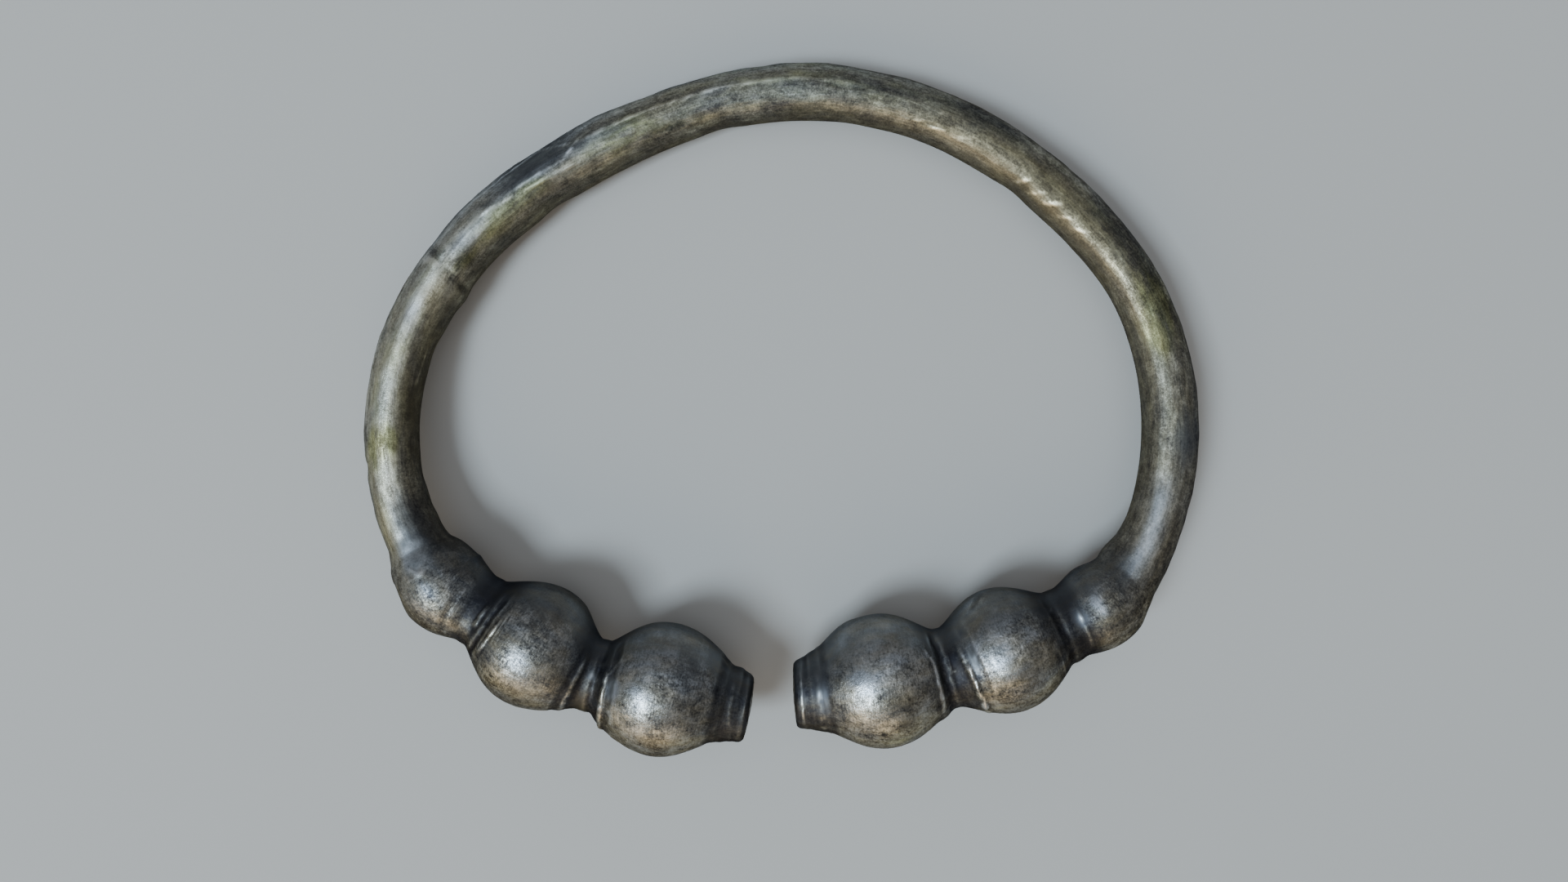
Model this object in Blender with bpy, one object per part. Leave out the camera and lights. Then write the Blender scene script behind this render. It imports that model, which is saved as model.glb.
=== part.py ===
"""Silver penannular bracelet: a round rod bent into an oval hoop, open at the front,
with three beads and a plain ferrule on each terminal.

The hoop is drawn flat, seen from above with the opening at the front (-Y) and the back at +Y.
It is then laid down as it rests when loose: the two big beads are thicker than the rod,
so the hoop leans a little on its back, and every touching place is worn flat.
"""
import math
from dataclasses import dataclass

import bmesh
import bpy
import numpy as np
from mathutils import Vector

MM = 0.001

# Hoop, measured on the rod's centreline
HOOP_WIDTH = 65.4 * MM
HOOP_DEPTH = 51.9 * MM
ROD_DIAMETER = 4.6 * MM

# Opening between the two end faces
OPENING = 3.9 * MM
END_STEP = 1.1 * MM

# Beads, the same size on both terminals but for the small one
BIG_BEAD_DIAMETER = 11.1 * MM
MIDDLE_BEAD_DIAMETER = 10.45 * MM
LEFT_SMALL_BEAD_DIAMETER = 7.2 * MM
RIGHT_SMALL_BEAD_DIAMETER = 6.9 * MM

# Bead places along each terminal, from middle to middle
END_TO_BIG_BEAD = 7.4 * MM
LEFT_BIG_TO_MIDDLE = 11.4 * MM
LEFT_MIDDLE_TO_SMALL = 9.3 * MM
RIGHT_BIG_TO_MIDDLE = 10.6 * MM
RIGHT_MIDDLE_TO_SMALL = 9.0 * MM

# Waists between the beads, and the taper that brings a terminal down to the rod
LEFT_OUTER_WAIST_DIAMETER = 6.2 * MM
RIGHT_OUTER_WAIST_DIAMETER = 6.8 * MM
INNER_WAIST_DIAMETER = 6.2 * MM
TAPER_LENGTH = 8.0 * MM
LEFT_FILLET = 2.0 * MM
RIGHT_FILLET = 1.6 * MM

# Ferrules: a short plain sleeve from the end face to the big bead
LEFT_FACE_DIAMETER = 5.2 * MM
LEFT_RIM_DIAMETER = 5.85 * MM
LEFT_SLEEVE_DIAMETER = 6.6 * MM
RIGHT_FACE_DIAMETER = 5.1 * MM
RIGHT_RIM_DIAMETER = 5.65 * MM
RIGHT_SLEEVE_DIAMETER = 7.0 * MM
SLEEVE_LENGTH = 2.4 * MM
RIM_ROUNDING = 0.45 * MM

# Collars: the low rings that flank each waist, rubbed away on the arm's side
COLLAR_HEIGHT = 0.15 * MM
COLLAR_HALF_WIDTH = 0.45 * MM
COLLAR_SPREAD = 1.3 * MM

# Wear: how deep the beads and the back are worn flat where they rest
REST_WEAR = 0.15 * MM

# Fineness of the solid
SIDES = 24
TERMINAL_STEP = 0.64 * MM
ROD_STEP = 1.9 * MM
CURVE_SAMPLES = 4000

# Hand-bent course of the hoop, from the left big bead round the back to the right big bead:
# sideways and backward place as shares of half the hoop's width and depth, and rod thickness
# as a share of its diameter.
HOOP_COURSE = (
    (-0.300, -0.937, 1.00),
    (-0.484, -0.890, 1.00),
    (-0.638, -0.788, 1.00),
    (-0.784, -0.674, 1.00),
    (-0.873, -0.590, 1.00),
    (-0.898, -0.536, 1.00),
    (-0.965, -0.375, 0.96),
    (-1.002, -0.145, 0.95),
    (-0.982, 0.104, 0.98),
    (-0.900, 0.340, 1.00),
    (-0.723, 0.605, 1.04),
    (-0.498, 0.795, 1.04),
    (-0.246, 0.933, 0.99),
    (0.023, 0.999, 1.02),
    (0.294, 0.960, 0.97),
    (0.545, 0.819, 0.98),
    (0.759, 0.605, 0.97),
    (0.925, 0.329, 0.94),
    (0.995, 0.027, 0.98),
    (0.988, -0.262, 0.99),
    (0.933, -0.472, 0.99),
    (0.819, -0.663, 1.00),
    (0.729, -0.726, 1.00),
    (0.575, -0.807, 1.00),
    (0.424, -0.868, 1.00),
    (0.261, -0.908, 1.00),
)

# Middle of the opening, given in the same shares
OPENING_MIDDLE = (-0.0245, -0.976, 1.00)


@dataclass
class Terminal:
    """One terminal's turned profile; every place is a distance from its end face."""

    face: float
    rim: float
    sleeve: float
    beads: tuple
    waists: tuple
    fillet: float

    def waist_places(self):
        """Each waist lies midway between the facing sides of its two beads."""
        places = []
        for (place, diameter), (next_place, next_diameter) in zip(self.beads, self.beads[1:]):
            places.append((place + diameter / 2 + next_place - next_diameter / 2) / 2)
        return places

    def collar_places(self):
        return [waist + side * COLLAR_SPREAD for waist in self.waist_places() for side in (-1, 1)]

    def length(self):
        """Where the taper after the small bead has come down to the plain rod."""
        return self.beads[-1][0] + TAPER_LENGTH

    def radius(self, distance, rod_radius):
        """Radius at each distance from the end face, where the plain rod would have rod_radius."""
        outer_waist, inner_waist = self.waist_places()
        places = (0.0, RIM_ROUNDING, SLEEVE_LENGTH, outer_waist, inner_waist, self.length())
        diameters = (self.face, self.rim, self.sleeve, *self.waists, 2 * rod_radius.mean())
        result = np.interp(distance, places, diameters) / 2
        result = np.where(distance < self.length(), result, rod_radius)
        for place, diameter in self.beads:
            bead = np.sqrt(np.maximum((diameter / 2) ** 2 - (distance - place) ** 2, 0.0))
            result = smooth_max(result, bead, self.fillet)
        return result

    def collar(self, distance):
        """How high the collars stand at each distance from the end face."""
        nearest = np.abs(distance[:, None] - np.array(self.collar_places())).min(axis=1)
        return COLLAR_HEIGHT * np.maximum(1 - nearest / COLLAR_HALF_WIDTH, 0.0)


def smooth_max(first, second, blend):
    """The larger of two values, with a fillet where they are nearly equal."""
    nearness = np.maximum(blend - np.abs(first - second), 0.0) / blend
    return np.maximum(first, second) + nearness ** 2 * blend / 4


def bead_row(*steps_and_diameters):
    """Pairs of place and diameter, from pairs of step and diameter."""
    place = 0.0
    row = []
    for step, diameter in steps_and_diameters:
        place += step
        row.append((place, diameter))
    return tuple(row)


def left_terminal():
    beads = bead_row(
        (END_TO_BIG_BEAD, BIG_BEAD_DIAMETER),
        (LEFT_BIG_TO_MIDDLE, MIDDLE_BEAD_DIAMETER),
        (LEFT_MIDDLE_TO_SMALL, LEFT_SMALL_BEAD_DIAMETER),
    )
    waists = (LEFT_OUTER_WAIST_DIAMETER, INNER_WAIST_DIAMETER)
    return Terminal(LEFT_FACE_DIAMETER, LEFT_RIM_DIAMETER, LEFT_SLEEVE_DIAMETER, beads, waists, LEFT_FILLET)


def right_terminal():
    beads = bead_row(
        (END_TO_BIG_BEAD, BIG_BEAD_DIAMETER),
        (RIGHT_BIG_TO_MIDDLE, MIDDLE_BEAD_DIAMETER),
        (RIGHT_MIDDLE_TO_SMALL, RIGHT_SMALL_BEAD_DIAMETER),
    )
    waists = (RIGHT_OUTER_WAIST_DIAMETER, INNER_WAIST_DIAMETER)
    return Terminal(RIGHT_FACE_DIAMETER, RIGHT_RIM_DIAMETER, RIGHT_SLEEVE_DIAMETER, beads, waists, RIGHT_FILLET)


def spline_through(points, count):
    """Natural cubic spline through the points, as count samples."""
    knots = np.append(0.0, np.cumsum(np.linalg.norm(np.diff(points[:, :2], axis=0), axis=1)))
    gaps = np.diff(knots)
    last = len(points) - 1
    system = np.eye(last + 1)
    slope_change = np.zeros_like(points)
    for i in range(1, last):
        system[i, i - 1:i + 2] = gaps[i - 1], 2 * (gaps[i - 1] + gaps[i]), gaps[i]
        rise = (points[i + 1] - points[i]) / gaps[i]
        slope_change[i] = 6 * (rise - (points[i] - points[i - 1]) / gaps[i - 1])
    bend = np.linalg.solve(system, slope_change)
    samples = np.linspace(0.0, knots[-1], count)
    k = np.clip(np.searchsorted(knots, samples, side="right") - 1, 0, last - 1)
    gap = gaps[k]
    after = ((samples - knots[k]) / gap)[:, None]
    before = 1 - after
    straight = before * points[k] + after * points[k + 1]
    curved = (before ** 3 - before) * bend[k] + (after ** 3 - after) * bend[k + 1]
    return straight + curved * (gap ** 2 / 6)[:, None]


class Hoop:
    """The rod's centreline from the left end face round the back to the right one."""

    def __init__(self):
        full_size = np.array([HOOP_WIDTH / 2, HOOP_DEPTH / 2, 1.0])
        course = np.array(HOOP_COURSE) * full_size
        opening_middle = np.array(OPENING_MIDDLE) * full_size
        to_right_end = np.array([OPENING / 2, END_STEP / 2, 0.0])
        ends = opening_middle - to_right_end, opening_middle + to_right_end
        self.samples = spline_through(np.vstack([ends[0], course, ends[1]]), CURVE_SAMPLES)
        steps = np.linalg.norm(np.diff(self.samples[:, :2], axis=0), axis=1)
        self.distance = np.append(0.0, np.cumsum(steps))
        self.length = self.distance[-1]

    def at(self, distance):
        """Centre, outward direction and plain rod radius at each distance along the hoop."""
        columns = [np.interp(distance, self.distance, column) for column in self.samples.T]
        along = np.gradient(self.samples[:, :2], self.distance, axis=0)
        heading = np.stack([np.interp(distance, self.distance, column) for column in along.T], axis=-1)
        heading /= np.linalg.norm(heading, axis=-1, keepdims=True)
        outward = np.stack([-heading[:, 1], heading[:, 0]], axis=-1)
        return np.stack(columns[:2], axis=-1), outward, columns[2] * ROD_DIAMETER / 2


def turned_profile(hoop, distance, rod_radius):
    """Radius, and the collars' height on top of it, at each distance along the hoop."""
    left = left_terminal()
    right = right_terminal()
    from_right_end = hoop.length - distance
    nearer_left = distance < from_right_end
    radius = np.where(nearer_left, left.radius(distance, rod_radius), right.radius(from_right_end, rod_radius))
    return radius, np.where(nearer_left, left.collar(distance), right.collar(from_right_end))


def terminal_ring_places(terminal):
    """Ring places on one terminal: even steps, with three rings on each collar."""
    even = np.linspace(0.0, terminal.length(), round(terminal.length() / TERMINAL_STEP) + 1)
    collars = np.array(terminal.collar_places())
    clear = np.abs(even[:, None] - collars).min(axis=1) > 1.3 * COLLAR_HALF_WIDTH
    crests_and_feet = [collars + side * COLLAR_HALF_WIDTH for side in (-1, 0, 1)]
    return np.sort(np.concatenate([even[clear], [RIM_ROUNDING], *crests_and_feet]))


def ring_places(hoop):
    """Distances along the hoop at which a ring of points is laid."""
    left = terminal_ring_places(left_terminal())
    right = hoop.length - terminal_ring_places(right_terminal())[::-1]
    rod_length = right[0] - left[-1]
    rod = np.linspace(left[-1], right[0], round(rod_length / ROD_STEP) + 1)[1:-1]
    return np.concatenate([left, rod, right])


def bracelet_mesh(hoop):
    """One ring of points round the centreline at each place, joined by quads and closed by two end faces."""
    places = ring_places(hoop)
    centre, outward, rod_radius = hoop.at(places)
    radius, collar = turned_profile(hoop, places, rod_radius)
    bm = bmesh.new()
    rings = []
    for (x, y), (out_x, out_y), plain, raised in zip(centre, outward, radius, collar):
        ring = []
        for side in range(SIDES):
            turn = 2 * math.pi * side / SIDES
            outwardness = (1 + math.cos(turn)) / 2
            r = plain + raised * outwardness
            reach = r * math.cos(turn)
            ring.append(bm.verts.new((x + out_x * reach, y + out_y * reach, r * math.sin(turn))))
        rings.append(ring)
    for ring, following in zip(rings, rings[1:]):
        for side in range(SIDES):
            after = (side + 1) % SIDES
            bm.faces.new((ring[side], ring[after], following[after], following[side]))
    bm.faces.new(reversed(rings[0]))
    bm.faces.new(rings[-1])
    bmesh.ops.recalc_face_normals(bm, faces=bm.faces)
    mesh = bpy.data.meshes.new("bracelet")
    bm.to_mesh(mesh)
    bm.free()
    mesh.shade_smooth()
    mesh.set_sharp_from_angle(angle=math.radians(50))
    return mesh


def resting_direction(hoop):
    """The hoop's own direction that points down when both big beads and the back touch the ground."""
    back_distance = hoop.distance[np.argmax(hoop.samples[:, 1])]
    touching = np.array([END_TO_BIG_BEAD, back_distance, hoop.length - END_TO_BIG_BEAD])
    centre, _, rod_radius = hoop.at(touching)
    radius, _ = turned_profile(hoop, touching, rod_radius)
    spans = centre[1:] - centre[0]
    sideways = np.linalg.solve(spans, radius[0] - radius[1:])
    return Vector((*sideways, -math.sqrt(1 - sideways @ sideways)))


def silver():
    material = bpy.data.materials.new("silver")
    material.use_nodes = True
    shader = material.node_tree.nodes["Principled BSDF"]
    shader.inputs["Base Color"].default_value = (0.36, 0.35, 0.32, 1.0)
    shader.inputs["Metallic"].default_value = 1.0
    shader.inputs["Roughness"].default_value = 0.38
    return material


def lay_down(bracelet, down):
    """Turn the bracelet on to its resting places, centred over the origin, sunk by the wear."""
    bracelet.rotation_mode = "QUATERNION"
    bracelet.rotation_quaternion = down.rotation_difference(Vector((0, 0, -1)))
    turn = bracelet.rotation_quaternion.to_matrix()
    corners = np.array([turn @ vertex.co for vertex in bracelet.data.vertices])
    low = corners.min(axis=0)
    high = corners.max(axis=0)
    bracelet.location = (-(low[0] + high[0]) / 2, -(low[1] + high[1]) / 2, -low[2] - REST_WEAR)


def ground_cutter():
    """A slab below the ground that takes the worn flats off the bracelet."""
    reach = HOOP_WIDTH + 2 * BIG_BEAD_DIAMETER
    thickness = BIG_BEAD_DIAMETER
    bpy.ops.mesh.primitive_cube_add(size=1.0)
    cutter = bpy.context.object
    cutter.name = "ground_cutter"
    cutter.scale = (reach, reach, thickness)
    cutter.location = (0.0, 0.0, -thickness / 2)
    cutter.hide_render = True
    cutter.display_type = "WIRE"
    return cutter


def build():
    for leftover in list(bpy.data.objects):
        bpy.data.objects.remove(leftover)
    hoop = Hoop()
    bracelet = bpy.data.objects.new("bracelet", bracelet_mesh(hoop))
    bpy.context.collection.objects.link(bracelet)
    bracelet.data.materials.append(silver())
    lay_down(bracelet, resting_direction(hoop))
    wear = bracelet.modifiers.new("worn flats", "BOOLEAN")
    wear.operation = "DIFFERENCE"
    wear.solver = "EXACT"
    wear.object = ground_cutter()


build()
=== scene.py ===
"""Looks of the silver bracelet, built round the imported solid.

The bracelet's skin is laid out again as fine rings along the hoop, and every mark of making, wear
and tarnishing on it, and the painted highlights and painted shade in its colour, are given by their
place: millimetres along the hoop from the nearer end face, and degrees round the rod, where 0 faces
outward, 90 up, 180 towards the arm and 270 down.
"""

import math

import bpy
import numpy as np
from mathutils import Matrix, Vector, noise


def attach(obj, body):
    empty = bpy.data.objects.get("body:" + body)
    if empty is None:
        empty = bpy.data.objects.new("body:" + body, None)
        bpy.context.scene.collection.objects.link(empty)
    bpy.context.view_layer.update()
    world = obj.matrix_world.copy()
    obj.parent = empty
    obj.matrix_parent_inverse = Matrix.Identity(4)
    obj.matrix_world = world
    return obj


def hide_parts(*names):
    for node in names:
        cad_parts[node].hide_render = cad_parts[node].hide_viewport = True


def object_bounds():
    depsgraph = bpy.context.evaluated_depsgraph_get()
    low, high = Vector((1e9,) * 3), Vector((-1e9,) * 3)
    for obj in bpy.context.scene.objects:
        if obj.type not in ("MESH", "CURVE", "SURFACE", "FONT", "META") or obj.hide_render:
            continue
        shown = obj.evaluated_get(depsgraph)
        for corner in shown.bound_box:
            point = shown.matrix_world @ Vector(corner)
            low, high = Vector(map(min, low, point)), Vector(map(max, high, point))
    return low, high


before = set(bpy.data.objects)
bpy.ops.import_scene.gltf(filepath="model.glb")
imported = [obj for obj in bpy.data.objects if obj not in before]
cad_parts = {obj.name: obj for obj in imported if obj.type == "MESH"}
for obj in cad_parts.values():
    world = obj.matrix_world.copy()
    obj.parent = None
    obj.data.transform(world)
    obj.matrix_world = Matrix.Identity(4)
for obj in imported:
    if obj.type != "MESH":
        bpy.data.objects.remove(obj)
cad_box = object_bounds()

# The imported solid's overall width gives the length of one millimetre; every length below is in these
DRAWN_WIDTH = 69.96
MM = (cad_box[1].x - cad_box[0].x) / DRAWN_WIDTH

# The solid's form, as in its own source
HOOP_WIDTH = 65.4
HOOP_DEPTH = 51.9
ROD_DIAMETER = 4.6
OPENING = 3.9
END_STEP = 1.1
BIG_BEAD = 11.1
MIDDLE_BEAD = 10.45
END_TO_BIG_BEAD = 7.4
TAPER_LENGTH = 8.0
SLEEVE_LENGTH = 2.4
RIM_ROUNDING = 0.45
REST_WEAR = 0.15

# The hoop's course from the left terminal round to the right one: shares of half its width and half its
# depth, and of the rod's diameter
HOOP_COURSE = (
    (-0.300, -0.937, 1.00),
    (-0.484, -0.890, 1.00),
    (-0.638, -0.788, 1.00),
    (-0.784, -0.674, 1.00),
    (-0.873, -0.590, 1.00),
    (-0.898, -0.536, 1.00),
    (-0.965, -0.375, 0.96),
    (-1.002, -0.145, 0.95),
    (-0.982, 0.104, 0.98),
    (-0.900, 0.340, 1.00),
    (-0.723, 0.605, 1.04),
    (-0.498, 0.795, 1.04),
    (-0.246, 0.933, 0.99),
    (0.023, 0.999, 1.02),
    (0.294, 0.960, 0.97),
    (0.545, 0.819, 0.98),
    (0.759, 0.605, 0.97),
    (0.925, 0.329, 0.94),
    (0.995, 0.027, 0.98),
    (0.988, -0.262, 0.99),
    (0.933, -0.472, 0.99),
    (0.819, -0.663, 1.00),
    (0.729, -0.726, 1.00),
    (0.575, -0.807, 1.00),
    (0.424, -0.868, 1.00),
    (0.261, -0.908, 1.00),
)
OPENING_MIDDLE = (-0.0245, -0.976, 1.00)

# Fineness of the skin: points round a ring, steps between rings from each place on a terminal and along
# the rod, rings on an end face, and samples of the hoop's course
SIDES = 116
TERMINAL_STEPS = ((0.0, 0.10), (3.0, 0.22), (10.5, 0.10), (16.0, 0.22), (20.5, 0.10), (25.0, 0.20))
ROD_STEP = 0.33
CAP_RINGS = 9
CURVE_SAMPLES = 4000

# Each terminal: diameters of face, rim, sleeve and waists, fillet between bead and waist, slant of the
# end face in degrees and its dome, and the beads as place and diameter
TERMINALS = {
    "left": dict(
        face=5.2, rim=5.85, sleeve=6.6, waists=(6.2, 6.2), fillet=2.0, slant=3.7, dome=0.18,
        beads=((END_TO_BIG_BEAD, BIG_BEAD), (18.8, MIDDLE_BEAD), (28.1, 7.2)),
    ),
    "right": dict(
        face=5.1, rim=5.65, sleeve=7.0, waists=(6.8, 6.2), fillet=1.6, slant=6.0, dome=0.15,
        beads=((END_TO_BIG_BEAD, BIG_BEAD), (18.0, MIDDLE_BEAD), (27.0, 6.9)),
    ),
}
OUT_OF_FACE = {"left": -1, "right": 1}

# Ridges and grooves round a terminal: end, place where it crosses the top, drift along the rod for
# each 90 degrees of turn, height, half width, first and last turn
RINGS = (
    ("left", 0.35, 0.10, 0.025, 0.12, 62, 125),
    ("left", 0.80, 0.0, -0.03, 0.30, -60, 240),
    ("left", 1.50, 0.40, 0.035, 0.26, 70, 125),
    ("left", 2.75, 0.0, -0.05, 0.45, -60, 200),
    ("left", 11.35, 0.1, -0.10, 0.50, -30, 150),
    ("left", 11.95, 0.25, 0.22, 0.30, 10, 108),
    ("left", 12.75, 0.1, -0.10, 0.50, -40, 135),
    ("left", 14.30, -0.42, 0.10, 0.30, 15, 112),
    ("left", 14.85, -0.45, -0.06, 0.30, -40, 120),
    ("left", 21.30, 0.0, 0.05, 0.13, 92, 110),
    ("left", 21.62, 0.0, 0.09, 0.14, 90, 112),
    ("left", 22.00, -0.6, 0.13, 0.18, 68, 106),
    ("left", 22.75, -0.3, -0.14, 0.34, 40, 130),
    ("left", 23.65, -0.5, 0.13, 0.34, 74, 106),
    ("left", 26.05, 0.2, -0.06, 0.28, 20, 110),
    ("right", 0.55, 0.0, 0.08, 0.16, 50, 128),
    ("right", 1.05, 0.0, -0.04, 0.35, -60, 240),
    ("right", 1.95, 0.0, 0.04, 0.45, 20, 120),
    ("right", 2.75, 0.0, -0.04, 0.40, -80, 240),
    ("right", 11.72, -0.10, 0.12, 0.30, 38, 112),
    ("right", 12.35, -0.3, -0.12, 0.50, -40, 150),
    ("right", 14.33, -0.85, 0.25, 0.36, 20, 112),
    ("right", 15.15, -0.7, -0.08, 0.45, 60, 140),
    ("right", 21.60, 0.0, 0.05, 0.16, 40, 75),
    ("right", 22.60, 0.0, -0.08, 0.50, -60, 140),
    ("right", 24.50, 0.1, 0.05, 0.25, 60, 115),
)

# Bumps and dents: end, place, turn, half length along the rod, half breadth round it, height
BUMPS = (
    ("left", 0.0, 12, 0.35, 0.5, -0.16),
    ("left", 0.0, 52, 0.30, 0.5, -0.10),
    ("left", 0.0, 150, 0.30, 0.4, -0.08),
    ("left", 0.1, 34, 0.30, 0.4, 0.09),
    ("left", 0.2, 180, 1.2, 2.4, -0.22),
    ("left", 1.9, 20, 0.7, 0.8, 0.12),
    ("left", 2.1, 180, 1.1, 2.4, -0.16),
    ("left", 11.5, 0, 1.8, 3.0, 0.18),
    ("left", 15.0, 180, 2.0, 5.0, -0.20),
    ("left", 29.1, 5, 1.3, 2.6, -0.42),
    ("left", 31.3, 5, 1.6, 2.6, 0.36),
    ("left", 31.6, 85, 1.6, 4.5, 0.15),
    ("left", 32.3, 180, 1.8, 3.0, -0.18),
    ("left", 36.4, 180, 1.6, 3.0, 0.12),
    ("left", 39.2, 0, 0.9, 2.0, -0.20),
    ("left", 49.8, 180, 2.4, 3.2, -0.16),
    ("left", 55.2, 180, 1.6, 3.0, 0.17),
    ("left", 67.3, 180, 2.6, 3.4, -0.20),
    ("left", 74.5, 10, 4.0, 3.0, 0.12),
    ("left", 78.6, 128, 0.35, 0.3, -0.07),
    ("left", 79.4, 122, 0.3, 0.3, -0.06),
    ("left", 80.2, 130, 0.3, 0.25, -0.06),
    ("left", 83.3, 180, 2.6, 3.2, -0.18),
    ("left", 87.8, 0, 1.6, 2.2, -0.12),
    ("left", 91.7, 128, 0.25, 0.25, 0.06),
    ("right", 0.0, 100, 0.30, 0.6, -0.07),
    ("right", 0.0, 150, 0.40, 0.7, -0.10),
    ("right", 4.5, 180, 2.4, 5.0, 0.22),
    ("right", 6.55, 53, 0.25, 0.3, -0.06),
    ("right", 6.77, 89, 0.3, 0.3, -0.05),
    ("right", 7.68, 74, 0.3, 0.3, -0.05),
    ("right", 12.1, 5, 1.1, 2.8, 0.26),
    ("right", 23.2, 0, 1.2, 2.6, 0.16),
    ("right", 29.0, 0, 1.2, 2.6, -0.24),
    ("right", 31.2, 180, 2.2, 3.0, 0.30),
    ("right", 62.5, 150, 2.4, 1.8, 0.10),
    ("right", 66.8, 148, 2.0, 1.6, 0.12),
    ("right", 69.2, 180, 2.4, 2.2, -0.17),
    ("right", 84.0, 0, 3.2, 2.4, -0.16),
)

# Creases, seams and scratches: end, place and turn of both ends, half width, height
LINES = (
    ("left", 57.4, 20, 56.7, 95, 0.35, -0.09),
    ("left", 56.7, 95, 55.9, 175, 0.40, -0.10),
    ("left", 56.3, 50, 56.9, 110, 0.25, 0.06),
    ("left", 72.0, 66, 70.1, 92, 0.22, 0.10),
    ("left", 70.1, 92, 64.5, 88, 0.25, 0.07),
    ("left", 29.5, 68, 29.9, 100, 0.16, 0.08),
    ("left", 30.6, 72, 29.3, 96, 0.14, 0.07),
    ("left", 10.9, 130, 12.0, 104, 0.14, 0.07),
    ("right", 17.6, 172, 16.2, 155, 0.42, -0.06),
    ("right", 28.6, 88, 29.8, 70, 0.12, 0.05),
    ("right", 11.7, 110, 11.1, 130, 0.20, 0.06),
    ("right", 13.0, 122, 12.95, 97, 0.12, 0.06),
    ("right", 12.95, 97, 13.4, 96, 0.10, 0.06),
    ("left", 92.0, 84, 94.2, 97, 0.20, -0.06),
    ("left", 94.2, 97, 96.5, 90, 0.18, -0.04),
    ("right", 69.6, 146, 68.6, 116, 0.26, 0.07),
    ("right", 68.2, 147, 67.0, 120, 0.22, 0.06),
    ("right", 66.6, 143, 65.2, 112, 0.28, 0.08),
    ("right", 65.0, 146, 63.9, 122, 0.22, 0.06),
    ("right", 63.4, 140, 62.0, 118, 0.26, 0.06),
    ("right", 78.4, 132, 77.0, 124, 0.20, 0.06),
    ("right", 79.8, 130, 79.0, 121, 0.18, 0.05),
    ("left", 62.0, 84, 65.3, 100, 0.24, 0.08),
    ("left", 65.3, 100, 68.5, 107, 0.24, 0.09),
    ("left", 68.5, 107, 71.7, 111, 0.22, 0.06),
    ("left", 72.1, 74, 79.5, 76, 0.26, 0.07),
    ("left", 79.5, 76, 92.0, 79, 0.26, 0.05),
    ("left", 61.5, 44, 68.7, 28, 0.26, 0.08),
    ("left", 68.7, 28, 71.4, 70, 0.22, 0.05),
    ("left", 50.4, 28, 46.6, 40, 0.22, 0.05),
    ("left", 46.6, 40, 42.0, 40, 0.22, 0.05),
    ("left", 49.8, 158, 45.9, 150, 0.24, 0.04),
)

# How much of a ring's or line's height is there everywhere, and how much the grain adds or takes; the
# degrees over which a ring fades on both sides of its first and last turn; and the share of its height
# that a line loses at its ends
MARK_HEIGHT = 0.9
MARK_GRAIN = 0.9
RING_FADE = 20
LINE_TAPER = 0.7

# Flats along the rod: end, first and last place, middle turn, half span in degrees, share; then the
# distances over which they set in and end, and the degrees by which their edges wander
FLATS = (
    ("left", 58.0, 88.0, 163, 27, 0.30),
    ("right", 38.0, 92.6, 160, 28, 0.32),
    ("left", 63.0, 71.5, 45, 30, 0.60),
    ("left", 44.0, 55.0, 60, 24, 0.20),
    ("right", 40.0, 56.0, 95, 26, 0.20),
    ("right", 74.0, 86.0, 62, 26, 0.30),
)
FLAT_START = 1.5
FLAT_STOP = 0.8
FLAT_WANDER = 7
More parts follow.
